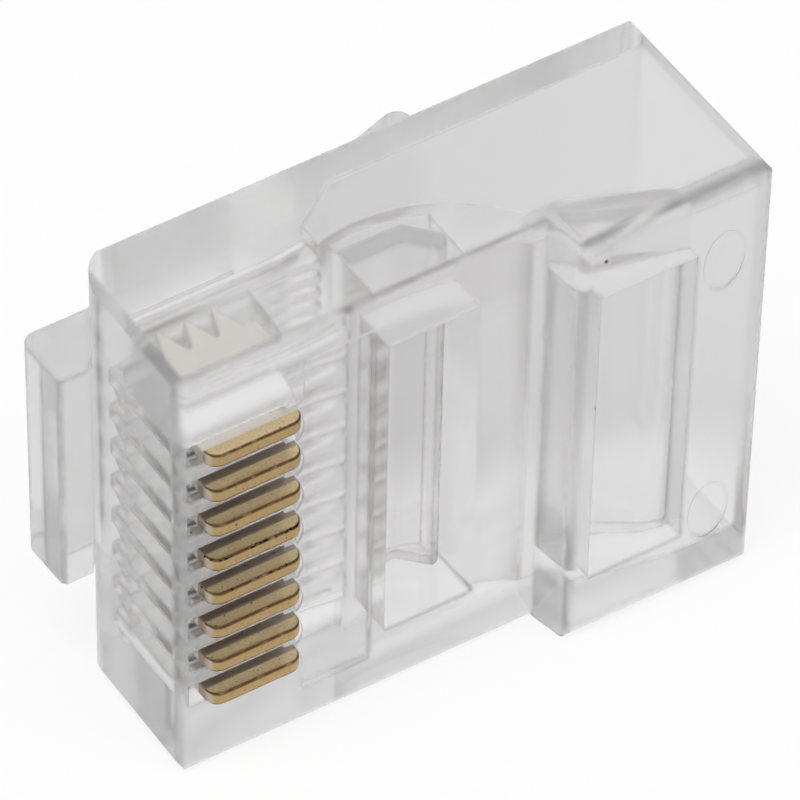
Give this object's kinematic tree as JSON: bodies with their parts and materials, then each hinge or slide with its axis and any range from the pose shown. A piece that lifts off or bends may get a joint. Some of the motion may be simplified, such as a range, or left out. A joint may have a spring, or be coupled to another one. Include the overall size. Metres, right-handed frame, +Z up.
{
  "type": "modular plug",
  "caption": "Clear uncrimped modular plug with gold-plated contact blades, sprung latch, wire channels and fold-in strain reliefs, standing on its narrow side.",
  "frame": {"origin": "middle of the narrow resting side of the body: half the body length, half the rear section's depth, at the resting face", "axes": "+X from the nose to the cable entry, +Y out of the latch side, -Y out of the contact side, +Z up across the body's width"},
  "size_m": [0.0222, 0.014, 0.0117],
  "materials": {
    "clear_plastic": "clear moulded polycarbonate, gloss",
    "gold_plate": "gold-plated copper alloy, satin"
  },
  "bodies": {
    "plug_body": {"housing": "clear_plastic"},
    "latch_arm": {"latch": "clear_plastic"},
    "blade_1": {"contact_1": "gold_plate"},
    "blade_2": {"contact_2": "gold_plate"},
    "blade_3": {"contact_3": "gold_plate"},
    "blade_4": {"contact_4": "gold_plate"},
    "blade_5": {"contact_5": "gold_plate"},
    "blade_6": {"contact_6": "gold_plate"},
    "blade_7": {"contact_7": "gold_plate"},
    "blade_8": {"contact_8": "gold_plate"},
    "conductor_bar": {"conductor_strain_relief": "clear_plastic"},
    "jacket_tongue": {"jacket_strain_relief": "clear_plastic"}
  },
  "joints": [
    {"name": "latch_press", "type": "hinge", "parent": "plug_body", "child": "latch_arm", "pos_m": [-0.00896, 0.0024, 0.00584], "axis": [0, 0, -1], "range_deg": [0, 15], "stiffness_Nm_per_rad": 0.15},
    {"name": "contact_1_crimp", "type": "slide", "parent": "plug_body", "child": "blade_1", "axis": [0, 1, 0], "range_m": [0, 0.00095]},
    {"name": "contact_2_crimp", "type": "slide", "parent": "plug_body", "child": "blade_2", "axis": [0, 1, 0], "range_m": [0, 0.00095]},
    {"name": "contact_3_crimp", "type": "slide", "parent": "plug_body", "child": "blade_3", "axis": [0, 1, 0], "range_m": [0, 0.00095]},
    {"name": "contact_4_crimp", "type": "slide", "parent": "plug_body", "child": "blade_4", "axis": [0, 1, 0], "range_m": [0, 0.00095]},
    {"name": "contact_5_crimp", "type": "slide", "parent": "plug_body", "child": "blade_5", "axis": [0, 1, 0], "range_m": [0, 0.00095]},
    {"name": "contact_6_crimp", "type": "slide", "parent": "plug_body", "child": "blade_6", "axis": [0, 1, 0], "range_m": [0, 0.00095]},
    {"name": "contact_7_crimp", "type": "slide", "parent": "plug_body", "child": "blade_7", "axis": [0, 1, 0], "range_m": [0, 0.00095]},
    {"name": "contact_8_crimp", "type": "slide", "parent": "plug_body", "child": "blade_8", "axis": [0, 1, 0], "range_m": [0, 0.00095]},
    {"name": "conductor_bar_fold", "type": "hinge", "parent": "plug_body", "child": "conductor_bar", "pos_m": [0.00017, -0.00035, 0.00584], "axis": [0, 0, -1], "range_deg": [0, 15]},
    {"name": "jacket_tongue_fold", "type": "hinge", "parent": "plug_body", "child": "jacket_tongue", "pos_m": [0.00744, -0.003, 0.00584], "axis": [0, 0, -1], "range_deg": [0, 18]}
  ]
}
